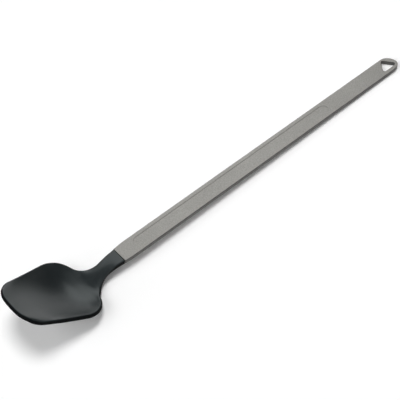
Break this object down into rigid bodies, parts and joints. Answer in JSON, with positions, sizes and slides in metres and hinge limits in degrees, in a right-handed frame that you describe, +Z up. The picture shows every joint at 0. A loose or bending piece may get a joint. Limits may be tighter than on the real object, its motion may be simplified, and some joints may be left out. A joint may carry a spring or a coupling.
{
  "type": "long-handled spoon",
  "caption": "Long-handled camp spoon: a flat metal handle bar with a shallow recess and a triangular hang hole, and a moulded bowl tilted up at the front.",
  "frame": {"origin": "on the table, under the middle of the spoon's bounding box, with the spoon lying bowl up on its bowl and the handle's far end", "axes": "+X along the spoon from the bowl's tip to the handle's far end, +Y across, +Z up"},
  "size_m": [0.2582, 0.0388, 0.027],
  "materials": {
    "handle_metal": "fine bead-blasted, grey anodised",
    "head_nylon": "satin moulded nylon"
  },
  "bodies": {
    "root": {"handle_bar": "handle_metal", "spoon_head": "head_nylon"}
  },
  "joints": []
}
